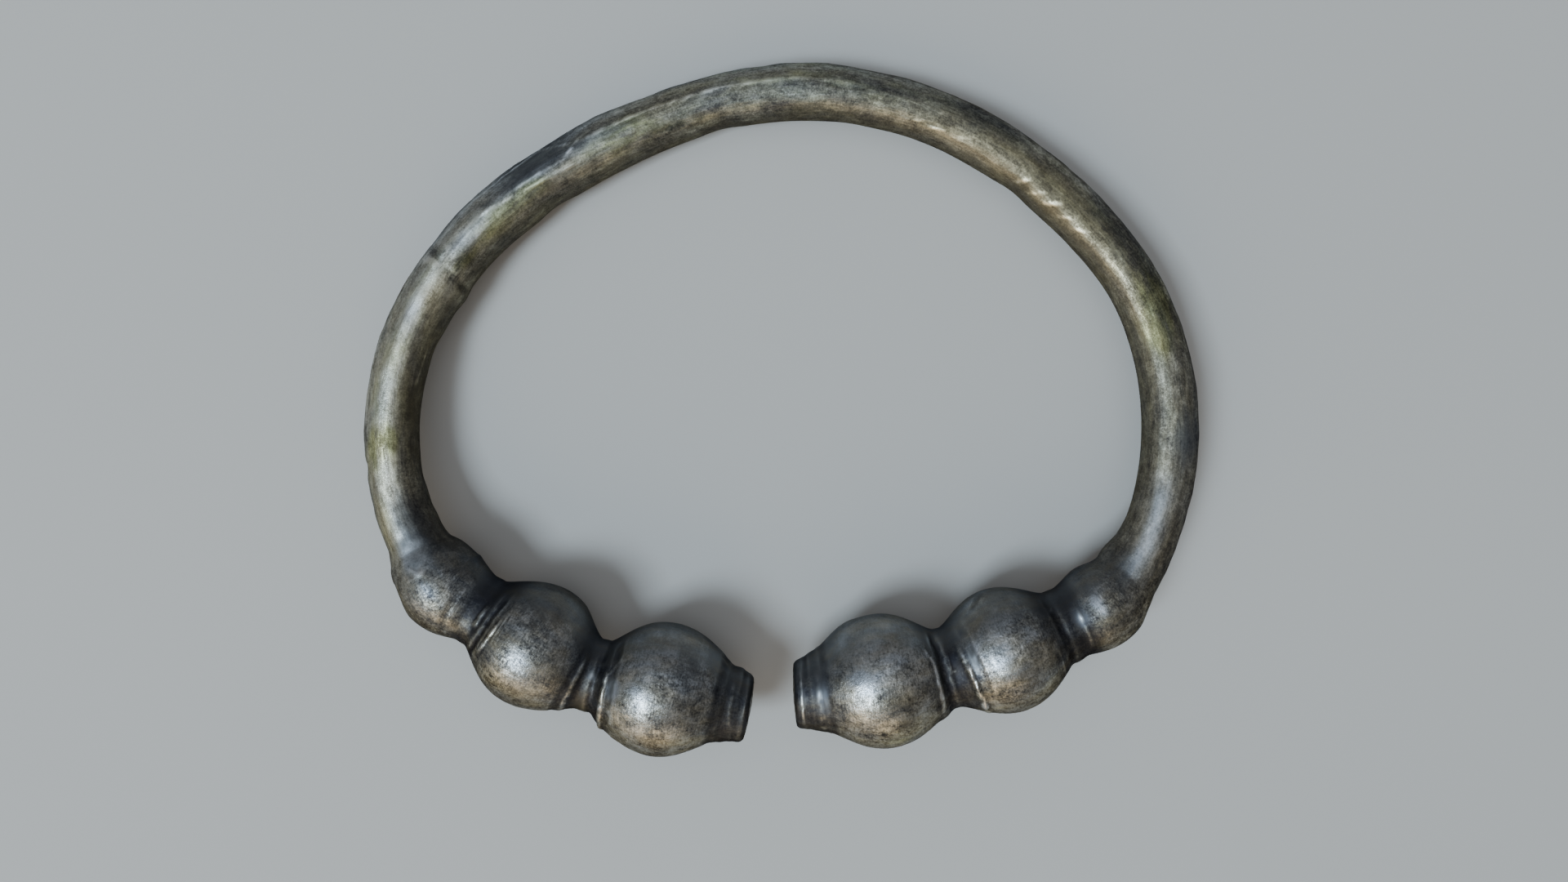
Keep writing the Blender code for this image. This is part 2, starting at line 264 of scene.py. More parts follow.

# Stains, rubbed places, painted highlights and painted shade: end, place, turn, half length, half
# breadth, and what they add to the tarnish, speckle, warmth and olive. Rows with less tarnish and a
# cooler tint where a bead's or the rod's highlight falls are painted highlights, and darker rows beside
# them are painted shade that narrows or dims those highlights
STAINS_AND_PAINTED_LIGHT = (
    ("left", 5.0, 56, 2.2, 3.0, -0.07, -0.2, -0.2, 0.10),
    ("left", 5.2, 120, 2.4, 2.6, 0.16, 0.0, -0.3, 0.0),
    # Painted highlight where the left big bead's highlight falls
    ("left", 8.7, 92, 1.8, 1.6, -0.12, -0.1, -0.7, 0.0),
    ("left", 11.1, 94, 0.8, 1.8, -0.30, -0.9, -1.2, 0.0),
    ("left", 13.2, 102, 0.5, 0.6, -0.40, -0.9, -1.0, 0.0),
    ("left", 13.4, 40, 1.0, 2.6, -0.06, -0.5, 0.9, 0.0),
    ("left", 16.8, 60, 1.6, 2.6, -0.05, -0.3, -0.4, 0.10),
    # Painted highlight where the left middle bead's highlight falls
    ("left", 19.0, 86, 1.6, 1.5, -0.06, -0.1, -0.8, 0.0),
    ("left", 20.2, 52, 1.8, 2.6, -0.10, 0.3, 0.5, 0.0),
    ("left", 23.6, 46, 1.0, 1.6, -0.20, 0.3, 0.3, 0.0),
    ("left", 24.1, 76, 0.5, 0.6, -0.20, 0.0, 0.0, 0.0),
    ("left", 24.6, 66, 1.2, 1.6, -0.24, 0.2, 0.5, 0.0),
    # Painted highlight where the left small bead's highlight falls
    ("left", 28.2, 88, 1.3, 1.2, -0.12, -0.1, -0.8, 0.0),
    ("left", 31.0, 96, 3.0, 2.2, 0.0, -0.2, -0.8, 0.0),
    # Painted highlight carrying the rod's highlight through the left root
    ("left", 31.6, 86, 3.4, 2.0, -0.26, -0.1, -0.4, 0.0),
    ("left", 33.5, 108, 4.4, 2.4, 0.36, -0.5, -0.8, 0.0),
    ("left", 34.5, 46, 5.0, 1.8, -0.08, 0.0, 0.7, 0.2),
    ("left", 40.5, 60, 3.0, 1.4, 0.08, 0.0, 0.3, 0.5),
    ("left", 41.0, 84, 2.4, 1.5, 0.20, 0.0, 0.4, 0.3),
    ("left", 41.3, 108, 1.8, 0.8, 0.12, 0.0, 0.0, 0.7),
    ("left", 43.8, 82, 1.2, 1.4, 0.10, 0.0, -0.3, 0.1),
    ("left", 44.0, 85, 16.0, 5.0, 0.0, 0.0, 0.0, 0.2),
    ("left", 46.0, 150, 13.0, 2.2, 0.08, -0.3, 0.5, -0.1),
    ("left", 46.2, 92, 1.4, 1.0, -0.14, 0.0, -0.3, 0.0),
    # Painted highlight core on the left rod below the crease
    ("left", 52.8, 90, 4.2, 0.9, -0.26, -0.1, -0.5, -0.1),
    ("left", 54.2, 112, 2.8, 1.2, 0.04, 0.0, 0.6, -0.1),
    ("left", 57.4, 66, 0.9, 0.8, 0.45, 0.0, 0.0, 0.0),
    ("left", 57.6, 118, 1.8, 1.2, 0.25, 0.0, 0.2, 0.3),
    ("left", 58.6, 122, 1.6, 1.2, 0.22, 0.0, 0.2, 0.3),
    # Painted highlight core on the left rod above the crease
    ("left", 60.2, 93, 3.4, 1.0, -0.24, -0.1, -0.6, -0.1),
    ("left", 61.8, 113, 4.0, 1.6, -0.02, 0.0, 0.2, 0.7),
    ("left", 66.0, 45, 16.0, 4.0, 0.0, 0.0, -0.7, 0.0),
    ("left", 66.0, 108, 3.0, 1.4, 0.05, 0.0, 0.2, 0.9),
    ("left", 66.5, 80, 6.0, 1.4, 0.10, -0.4, -0.8, -0.2),
    ("left", 68.0, 46, 5.4, 2.5, 0.26, -0.7, -0.7, 0.0),
    ("left", 74.0, 84, 6.0, 1.0, 0.05, -0.2, -0.6, -0.1),
    ("left", 75.5, 104, 4.6, 1.9, -0.06, -0.1, 0.1, 0.8),
    ("left", 79.5, 126, 1.6, 0.8, 0.25, 0.2, 0.0, 0.2),
    ("left", 86.0, 74, 9.0, 1.2, -0.12, 0.0, -0.1, 0.1),
    ("left", 88.0, 120, 20.0, 2.2, 0.0, 0.0, -0.5, 0.15),
    ("left", 90.0, 35, 20.0, 3.6, 0.0, 0.0, -0.4, 0.2),
    ("left", 90.0, 88, 3.0, 0.9, 0.06, 0.0, -0.3, 0.1),
    ("left", 97.0, 88, 6.0, 1.2, 0.02, 0.0, -0.3, 0.2),
    ("right", 0.6, 88, 0.4, 2.4, -0.12, -0.4, -0.2, 0.0),
    ("right", 1.4, 76, 1.4, 2.0, 0.08, 0.0, 0.0, 0.0),
    ("right", 2.2, 100, 0.9, 2.4, -0.12, -0.8, -1.1, 0.0),
    ("right", 3.9, 79, 1.1, 1.2, 0.28, 0.0, 0.0, 0.0),
    # Painted highlight where the right big bead's highlight falls
    ("right", 5.8, 104, 2.0, 1.8, -0.20, -0.1, -0.9, 0.0),
    ("right", 6.55, 53, 0.35, 0.35, 0.45, 0.0, 0.0, 0.0),
    ("right", 6.77, 89, 0.35, 0.35, 0.40, 0.0, 0.0, 0.0),
    ("right", 7.6, 45, 2.4, 2.4, -0.06, 0.0, 0.3, 0.3),
    ("right", 7.68, 74, 0.40, 0.40, 0.35, 0.0, 0.0, 0.0),
    ("right", 9.4, 52, 2.4, 2.8, -0.11, -0.2, -0.2, 0.15),
    ("right", 13.1, 92, 1.1, 3.4, 0.26, 0.0, 0.0, 0.0),
    ("right", 14.9, 104, 0.6, 1.8, -0.15, -0.9, -1.1, 0.0),
    # Painted highlight where the right middle bead's highlight falls
    ("right", 16.9, 97, 1.6, 1.6, -0.12, -0.1, -0.8, 0.0),
    ("right", 19.8, 56, 2.0, 2.6, -0.10, -0.1, -0.3, 0.15),
    ("right", 24.4, 104, 0.9, 1.1, -0.30, -0.9, -0.9, 0.0),
    # Painted highlight where the right small bead's highlight falls
    ("right", 26.3, 106, 0.8, 1.5, -0.48, -0.3, -0.8, 0.0),
    ("right", 26.6, 72, 1.6, 1.3, -0.05, 0.0, 0.6, 0.0),
    # Painted shade that narrows the right small bead's highlight
    ("right", 27.7, 98, 1.2, 1.7, 0.22, 0.0, 0.4, 0.0),
    ("right", 30.5, 118, 3.0, 2.2, 0.15, -0.4, -0.4, 0.0),
    # Painted shade on the right root's outer flank, and a painted highlight core beside it
    ("right", 32.5, 68, 5.5, 1.4, 0.14, 0.0, 0.3, 0.0),
    ("right", 33.5, 104, 5.5, 1.3, -0.32, -0.3, -0.9, 0.0),
    # Painted highlight on the right rod
    ("right", 37.8, 114, 3.2, 1.4, -0.08, -0.3, -0.8, -0.1),
    ("right", 42.5, 68, 3.4, 1.8, 0.16, -0.5, -0.8, -0.1),
    ("right", 46.0, 116, 12.0, 1.4, 0.06, -0.2, 0.0, 0.0),
    ("right", 51.5, 112, 3.6, 1.6, -0.06, -0.2, 0.2, 0.5),
    ("right", 53.6, 80, 5.0, 2.0, 0.12, 0.0, 0.0, 0.9),
    ("right", 59.0, 62, 7.0, 1.8, 0.18, 0.0, -0.3, 0.2),
    ("right", 64.0, 88, 12.0, 1.4, 0.06, -0.1, 0.0, 0.12),
    # Painted shade dimming the key light's highlight on the upper right
    ("right", 66.8, 124, 5.0, 1.1, 0.08, -0.1, 0.4, 0.0),
    ("right", 68.0, 110, 20.0, 2.0, 0.06, -0.25, 0.7, 0.0),
    ("right", 68.0, 128, 26.0, 2.8, -0.06, -0.1, 0.60, -0.1),
    ("right", 70.0, 140, 21.0, 1.7, -0.07, 0.0, -0.05, 0.0),
    # Painted light at turn 72 and painted shade at turn 113, widening the key light's highlight on the
    # right rod
    ("right", 72.0, 72, 18.0, 1.6, -0.08, 0.0, -0.3, 0.1),
    ("right", 72.0, 113, 22.0, 1.5, 0.10, 0.0, 0.0, 0.0),
    ("right", 75.0, 60, 6.0, 1.4, 0.30, 0.0, -0.2, 0.0),
)

# The end faces: tarnish, speckle, warmth and olive of their middles, the share of the radius over which
# the rim's patina gives way to it, and their unevenness as waves a millimetre, seed, octaves and height
FACE_PATINA = (0.36, 0.9, 0.56, 0.0)
FACE_RIM = 0.25
FACE_WAVES = 1.2
FACE_SEED = 5.0
FACE_OCTAVES = 3
FACE_HEIGHT = 0.05

# How much more tarnished the hoop is at places from its left end face: on its outer side, on top and
# on the arm's side. The rows are partly tarnish and partly painted shade and painted highlight,
# lightening or darkening each side along the hoop as the light falls on it
TARNISH_AND_PAINTED_LIGHT_ALONG = (
    (7.4, 0.00, 0.05, -0.08),
    (18.8, 0.06, 0.10, 0.04),
    (28.1, 0.13, 0.16, 0.18),
    (34.0, -0.12, -0.10, 0.14),
    (45.0, -0.30, -0.18, 0.04),
    (65.0, -0.15, 0.02, 0.00),
    (78.0, -0.12, 0.10, 0.02),
    (90.0, -0.10, 0.14, 0.02),
    (103.0, -0.02, 0.18, -0.02),
    (115.0, 0.02, 0.16, -0.02),
    (138.0, 0.07, 0.10, -0.04),
    (148.0, 0.15, 0.08, 0.02),
    (153.6, 0.10, 0.14, 0.06),
    (162.6, 0.02, 0.04, -0.04),
    (173.2, -0.03, 0.00, -0.12),
)

# Distances from the nearer end face over which the beads give way to the rod, the last waist's hollow
# ends, and the rod's olive tint sets in; and the radius at which a hollow is full and at which it ends
ROD_BEGINS = (26.0, 35.0)
LAST_WAIST_ENDS = (24.4, 26.0)
OLIVE_BEGINS = (34.0, 44.0)
HOLLOW_RADIUS = (3.3, 4.9)

# Regions of the skin: the way each faces, as outward and up, where it begins and is full as shares of
# the radius that way, and how far the swells and the lumps move its edge
REGIONS = {
    "outer": (1, 0, 0.25, 0.75, 0.0, 0.0),
    "outer_edge": (1, 0, 0.30, 0.85, 0.0, 0.0),
    "low_outer": (1, -1, 0.0, 0.7, 0.0, 0.0),
    "underside": (0, -1, 0.2, 0.8, 0.0, 0.0),
    "arm": (-1, 0, 0.25, 0.70, 0.0, 0.0),
    "arm_half": (-1, 0, -0.15, 0.6, 0.0, 0.0),
    "smooth_side": (-1, 0, 0.42, 0.82, 0.0, 0.10),
    "bead_side": (-1, 0, 0.40, 0.90, 0.0, 0.08),
    "rod_side": (-1, 0, 0.76, 0.93, 0.12, 0.08),
}

# Patina of a plain place, before the regions (partly painted shade), the marks and the stains (with their
# painted highlights and shade) add to it; the olive tint of the rod's top; the share of that tint missing
# on its outer edge; and the least and most speckle
PLAIN_TARNISH = 0.38
PLAIN_SPECKLE = 1.0
PLAIN_WARMTH = 0.10
ROD_OLIVE = 0.17
OLIVE_LOSS = 0.7
SPECKLE_LIMITS = (0.05, 1.3)

# Noise over the form: waves a millimetre along, outward and up, octaves, and seed; and the share of
# all but the swells that is missing on the smooth side
SWELLS = ((0.16, 0.30, 0.30), 2, 3.1)
LUMPS = ((0.55, 0.55, 0.55), 3, 11.7)
STREAKS = ((0.22, 1.9, 1.9), 3, 23.3)
GRAIN = ((1.5, 1.5, 1.5), 2, 41.9)
SMOOTHING = 0.8

# Rings and sides over which the marks' heights are averaged, and the height over that average at which
# a crest is full
CREST_BLUR = (4, 3)
FULL_CREST = 0.05

# Noise in the silver: waves a millimetre along, outward and up, detail, roughness and distortion
SILVER_NOISE = {
    "bead_clouds": ((0.5, 0.6, 0.6), 3.0, 0.6, 0.0),
    "rod_clouds": ((0.28, 0.9, 0.9), 4.0, 0.62, 0.0),
    "patches": ((1.25, 1.6, 1.6), 5.0, 0.66, 0.5),
    "grains": ((6.0, 6.0, 6.0), 3.0, 0.65, 0.0),
    "bead_strokes": ((8.0, 1.4, 1.4), 3.0, 0.6, 0.0),
    "rod_strokes": ((0.55, 4.6, 4.6), 4.0, 0.62, 0.5),
    "specks": ((2.6, 3.0, 3.0), 3.0, 0.6, 0.0),
    "hue": ((0.3, 0.8, 0.8), 4.0, 0.6, 0.0),
}

# How much each layer of it darkens the silver and how much it stands out, on the beads and on the rod;
# what is taken off the darkening again; and how strongly and how many millimetres it stands out in all
DARKENING = (
    ("clouds", 0.9, 0.7),
    ("patches", 1.1, 0.9),
    ("grains", 1.05, 0.75),
    ("strokes", 0.6, 0.6),
    ("pits", 0.26, 0.26),
)
STANDING_OUT = (
    ("strokes", 0.3, 0.7),
    ("patches", -0.9, -0.4),
    ("grains", 0.6, 0.4),
    ("pits", -0.15, -0.15),
)
USUAL_DARKENING = 0.03
BUMP_STRENGTH = 0.65
BUMP_HEIGHT = 0.05

# Pits: where specks and clouds begin and are full, and how many there are on the beads and on the rod
PIT_SPECKS = (0.04, 0.17)
PIT_CLOUDS = (-0.15, 0.10)
PIT_SHARES = (1.0, 0.4)

# The silver's colour from clean to black, what cool, warm and olive places multiply it by, how much its
# hue wanders on the beads and on the rod, how much the clouds take from the olive, and the tint of its
# reflections at a grazing angle
SILVER_COLOURS = (
    (0.00, (0.62, 0.60, 0.53)),
    (0.25, (0.38, 0.365, 0.315)),
    (0.48, (0.20, 0.19, 0.16)),
    (0.72, (0.095, 0.090, 0.080)),
    (1.00, (0.040, 0.038, 0.038)),
)
COOL_TINT = (0.84, 0.93, 1.16, 1.0)
WARM_TINT = (1.11, 1.005, 0.80, 1.0)
OLIVE_TINT = (0.90, 0.95, 0.66, 1.0)
HUE_WANDER = (1.5, 0.8)
OLIVE_CLOUDS = -5.0
GRAZING_TINT = (0.30, 0.30, 0.30, 1.0)

# Roughness of clean and of blackened silver, the darkness that counts as black, and what the rod and
# the speckle add
CLEAN_ROUGHNESS = 0.31
BLACK_ROUGHNESS = 0.53
BLACK_FROM = 0.9
ROD_ROUGHNESS = 0.08
SPECKLE_ROUGHNESS = 0.25

# The photograph's view: square to the hoop's plane, over a point in it given in the hoop's millimetres
VIEW_OVER = (0.206, -3.43)
VIEW_HEIGHT = 89.66
NEAREST_SEEN = 1.0
SENSOR_WIDTH = 36.0
LENS = 24.45

# Soft lights: name, direction, distance and size in metres, power and colour; then the surround and floor
LIGHTS = (
    ("key", (-0.48, -0.28, 0.82), 1.2, (0.42, 0.42), 13.0, (0.68, 0.85, 1.0)),
    ("warm_front", (-0.35, -0.80, 0.45), 1.2, (1.80, 0.75), 5.4, (1.0, 0.82, 0.58)),
    ("sky", (0.0, 0.2, 1.0), 1.8, (1.50, 1.50), 5.4, (0.80, 0.90, 1.0)),
)
SURROUND_COLOUR = (0.80, 0.82, 0.85, 1.0)
SURROUND_STRENGTH = 0.32
FLOOR_COLOUR = (0.50, 0.485, 0.46, 1.0)
FLOOR_ROUGHNESS = 0.9
FLOOR_RADIUS = 4.0
FLOOR_SIDES = 96


def smoothstep(value, low, high):
    share = np.clip((value - low) / (high - low), 0.0, 1.0)
    return share * share * (3 - 2 * share)


def hump(share):
    """1 at the middle, falling smoothly to 0 where share reaches 1 either way."""
    return np.maximum(1 - share ** 2, 0.0) ** 2


def turned_by(turn, middle):
    """Difference between turns in degrees, from -180 to 180."""
    return (turn - middle + 180) % 360 - 180


def added(start, *parts):
    """The start and every part, each of them an amount and where it holds in full."""
    return start + sum(amount * where for amount, where in parts)


def smooth_max(first, second, blend):
    nearness = np.maximum(blend - np.abs(first - second), 0.0) / blend
    return np.maximum(first, second) + nearness ** 2 * blend / 4


def spline_through(points, count):
    """Natural cubic spline through the points, as count samples."""
    knots = np.append(0.0, np.cumsum(np.linalg.norm(np.diff(points[:, :2], axis=0), axis=1)))
    gaps = np.diff(knots)
    last = len(points) - 1
    system = np.eye(last + 1)
    slope_change = np.zeros_like(points)
    for i in range(1, last):
        system[i, i - 1:i + 2] = gaps[i - 1], 2 * (gaps[i - 1] + gaps[i]), gaps[i]
        rise = (points[i + 1] - points[i]) / gaps[i]
        slope_change[i] = 6 * (rise - (points[i] - points[i - 1]) / gaps[i - 1])
    bend = np.linalg.solve(system, slope_change)
    samples = np.linspace(0.0, knots[-1], count)
    k = np.clip(np.searchsorted(knots, samples, side="right") - 1, 0, last - 1)
    gap = gaps[k]
    after = ((samples - knots[k]) / gap)[:, None]
    before = 1 - after
    straight = before * points[k] + after * points[k + 1]
    curved = (before ** 3 - before) * bend[k] + (after ** 3 - after) * bend[k + 1]
    return straight + curved * (gap ** 2 / 6)[:, None]


def waist_places(beads):
    return [(place + size / 2 + next_place - next_size / 2) / 2
            for (place, size), (next_place, next_size) in zip(beads, beads[1:])]


def terminal_length(end):
    return TERMINALS[end]["beads"][-1][0] + TAPER_LENGTH


def terminal_radius(end, distance, rod_radius):
    """Radius of one terminal's turned form at each distance from its end face."""
    form = TERMINALS[end]
    length = terminal_length(end)
    places = (RIM_ROUNDING, SLEEVE_LENGTH, *waist_places(form["beads"]), length)
    diameters = (form["rim"], form["sleeve"], *form["waists"], 2 * rod_radius[distance < length][-1])
    radius = np.interp(distance, places, diameters) / 2
    radius = np.where(distance < length, radius, rod_radius)
    for place, diameter in form["beads"]:
        bead = np.sqrt(np.maximum((diameter / 2) ** 2 - (distance - place) ** 2, 0.0))
        radius = smooth_max(radius, bead, form["fillet"])
    into_rim = 1 - np.clip(distance / RIM_ROUNDING, 0.0, 1.0)
    return radius - (form["rim"] - form["face"]) / 2 * into_rim ** 2


class Skin:
    """The bracelet's skin as a grid, one row for each ring along the hoop, one column for each side."""

    def __init__(self):
        full_size = np.array([HOOP_WIDTH / 2, HOOP_DEPTH / 2, 1.0])
        course = np.array(HOOP_COURSE) * full_size
        opening_middle = np.array(OPENING_MIDDLE) * full_size
        to_right_end = np.array([OPENING / 2, END_STEP / 2, 0.0])
        ends = opening_middle - to_right_end, opening_middle + to_right_end
        samples = spline_through(np.vstack([ends[0], course, ends[1]]), CURVE_SAMPLES)
        steps = np.linalg.norm(np.diff(samples[:, :2], axis=0), axis=1)
        along = np.append(0.0, np.cumsum(steps))
        self.length = along[-1]

        self.distance = self.ring_places()
        heading = np.gradient(samples[:, :2], along, axis=0)
        self.centre = np.stack([np.interp(self.distance, along, samples[:, i]) for i in (0, 1)], axis=-1)
        heading = np.stack([np.interp(self.distance, along, heading[:, i]) for i in (0, 1)], axis=-1)
        self.heading = heading / np.linalg.norm(heading, axis=-1, keepdims=True)
        self.outward = np.stack([-self.heading[:, 1], self.heading[:, 0]], axis=-1)
        rod_radius = np.interp(self.distance, along, samples[:, 2]) * ROD_DIAMETER / 2

        self.from_end = {"left": self.distance, "right": self.length - self.distance}
        self.back_place = along[np.argmax(samples[:, 1])]
        left_radius = terminal_radius("left", self.distance, rod_radius)
        right_radius = terminal_radius("right", self.from_end["right"][::-1], rod_radius[::-1])[::-1]
        self.radius = np.where(self.distance < self.length / 2, left_radius, right_radius)
        self.turn = np.arange(SIDES) * 360 / SIDES
        self.outwardness = np.cos(np.radians(self.turn))
        self.upness = np.sin(np.radians(self.turn))
        self.from_nearer_end = np.minimum(*self.from_end.values())[:, None]
        self.on_rod = smoothstep(self.from_nearer_end, *ROD_BEGINS)
        self.relief = np.zeros((len(self.distance), SIDES))
        self.slip = np.zeros_like(self.relief)
        self.straight = self.straightened()
        self.swells = texture(self.straight, *SWELLS)
        self.lumps = texture(self.straight, *LUMPS)
        self.streaks = texture(self.straight, *STREAKS)
        self.grain = texture(self.straight, *GRAIN)

    def ring_places(self):
        """Places of the rings along the hoop, closer together round the collars."""
        terminals = {}
        for end in TERMINALS:
            stops = [place for place, step in TERMINAL_STEPS[1:]] + [terminal_length(end)]
            runs = [np.linspace(start, stop, round((stop - start) / step) + 1)[1:]
                    for (start, step), stop in zip(TERMINAL_STEPS, stops)]
            terminals[end] = np.concatenate([[0.0], *runs])
        left = terminals["left"]
        right = self.length - terminals["right"][::-1]
        rod = np.linspace(left[-1], right[0], round((right[0] - left[-1]) / ROD_STEP) + 1)
        return np.concatenate([left, rod[1:-1], right])

    def points(self, radius, slip):
        """Places in the hoop's own plane for each ring and side."""
        sideways = radius * self.outwardness
        flat = self.centre[:, None] + self.outward[:, None] * sideways[..., None]
        flat = flat + self.heading[:, None] * slip[..., None]
        return np.dstack([flat, radius * self.upness])

    def straightened(self):
        """The same grid with the hoop pulled straight: along, outward and up."""
        radius = self.radius[:, None]
        along = np.broadcast_to(self.distance[:, None], self.relief.shape)
        return np.dstack([along, radius * self.outwardness, radius * self.upness])

    def radius_at(self, end, place):
        return self.radius[np.argmin(np.abs(self.from_end[end] - place))]

    def spot(self, end, place, turn, half_length, half_breadth):
        """1 at the given place, falling to 0 at the half length along and half breadth round."""
        along = (self.from_end[end][:, None] - place) / half_length
        around = np.radians(turned_by(self.turn, turn)) * self.radius_at(end, place) / half_breadth
        return hump(np.minimum(np.hypot(along, around[None]), 1.0))

    def region(self, name):
        """1 inside a region of the skin, falling smoothly to 0 outside it."""
        outward, up, begins, full, swells, lumps = REGIONS[name]
        facing = (outward * self.outwardness + up * self.upness)[None]
        return smoothstep(facing + swells * self.swells + lumps * self.lumps, begins, full)


def fractal(point, octaves):
    """Smooth noise of about -1 to 1, each octave twice as fine and half as high as the last."""
    return noise.fractal(Vector(point), 1.0, 2.0, octaves)


def texture(points, per_mm, octaves, seed):
    """Noise over the grid, with its own number of waves for each axis."""
    spread = points * np.asarray(per_mm) + seed
    values = [fractal(point, octaves) for point in spread.reshape(-1, 3)]
    return np.array(values).reshape(points.shape[:2])


def blurred(values, rings, sides):
    """Mean over a few neighbouring rings and sides."""
    padded = np.pad(values, ((rings, rings), (0, 0)), mode="edge")
    total = np.cumsum(np.vstack([np.zeros(SIDES), padded]), axis=0)
    along = (total[2 * rings + 1:] - total[:-2 * rings - 1]) / (2 * rings + 1)
    return sum(np.roll(along, shift, axis=1) for shift in range(-sides, sides + 1)) / (2 * sides + 1)


def ring_relief(skin):
    relief = np.zeros_like(skin.relief)
    for end, place, drift, height, half_width, first, last in RINGS:
        middle = (first + last) / 2
        turn = middle + turned_by(skin.turn, middle)
        centre = place + drift * (turn - 90) / 90
        fade = smoothstep(turn, first - RING_FADE, first + RING_FADE)
        fade = fade * (1 - smoothstep(turn, last - RING_FADE, last + RING_FADE))
        across = np.abs(skin.from_end[end][:, None] - centre[None]) / half_width
        relief += height * fade * hump(np.minimum(across, 1.0))
    return relief


def line_relief(skin):
    relief = np.zeros_like(skin.relief)
    for end, place, turn, last_place, last_turn, half_width, height in LINES:
        round_mm = math.radians(1) * skin.radius_at(end, place)
        along = skin.from_end[end][:, None] - place
        around = turned_by(skin.turn, turn)[None] * round_mm
        run = np.array([last_place - place, turned_by(last_turn, turn) * round_mm])
        share = np.clip((along * run[0] + around * run[1]) / (run @ run), 0.0, 1.0)
        away = np.hypot(along - share * run[0], around - share * run[1])
        taper = 1 - LINE_TAPER * np.abs(2 * share - 1) ** 3
        relief += height * taper * hump(np.minimum(away / half_width, 1.0))
    return relief


def flat_relief(skin):
    """Faces along the rod that are flatter than round, with edges that wander a little."""
    relief = np.zeros_like(skin.relief)
    for end, first, last, middle, half_span, share in FLATS:
        along = skin.from_end[end][:, None]
        reach = smoothstep(along, first - FLAT_START, first + FLAT_START)
        reach = reach * (1 - smoothstep(along, last - FLAT_STOP, last + FLAT_STOP))
        away = np.abs(turned_by(skin.turn, middle)[None] + FLAT_WANDER * skin.swells)
        chord = math.cos(math.radians(half_span)) / np.cos(np.radians(np.minimum(away, half_span)))
        relief += share * reach * skin.radius[:, None] * (chord - 1)
    return relief


def raise_marks(skin):
    """Adds every mark to the skin's relief, and returns the heights of its rings and lines alone."""
    lines = (ring_relief(skin) + line_relief(skin)) * (MARK_HEIGHT + MARK_GRAIN * skin.grain)
    marks = lines + flat_relief(skin)
    for end, place, turn, half_length, half_breadth, height in BUMPS:
        marks += height * skin.spot(end, place, turn, half_length, half_breadth)
    rough = 1 - SMOOTHING * skin.region("smooth_side")
    rough_rod = skin.on_rod * rough
    # Heights in millimetres of each kind of noise
    skin.relief = added(
        marks,
        (0.035, skin.swells),
        (0.050, skin.on_rod * skin.swells),
        (0.012, rough * skin.lumps),
        (0.030, rough_rod * skin.lumps),
        (0.020, rough_rod * skin.streaks),
        (0.035, rough_rod * skin.region("outer_edge") * skin.streaks),
        (0.006, rough * skin.grain),
    )
    return lines


def slant_faces(skin):
    """Slips the rings of both sleeves along the hoop, so that the end faces slant as in the photo."""
    for end, form in TERMINALS.items():
        reach = (1 - smoothstep(skin.from_end[end], 0.0, SLEEVE_LENGTH))[:, None]
        slant = math.tan(math.radians(form["slant"]))
        skin.slip += OUT_OF_FACE[end] * reach * slant * skin.radius[:, None] * skin.outwardness[None]


def tarnish_and_painted_light_along(skin, outer, arm):
    """Tarnish, painted shade and painted highlight that come and go along the hoop, on its outer side, on
    top and on the arm's side.
    """
    shares = np.dstack([outer, 1 - outer - arm, arm])
    places, *extra = np.array(TARNISH_AND_PAINTED_LIGHT_ALONG).T
    along = np.column_stack([np.interp(skin.distance, places, values) for values in extra])
    return (shares * along[:, None]).sum(axis=-1)


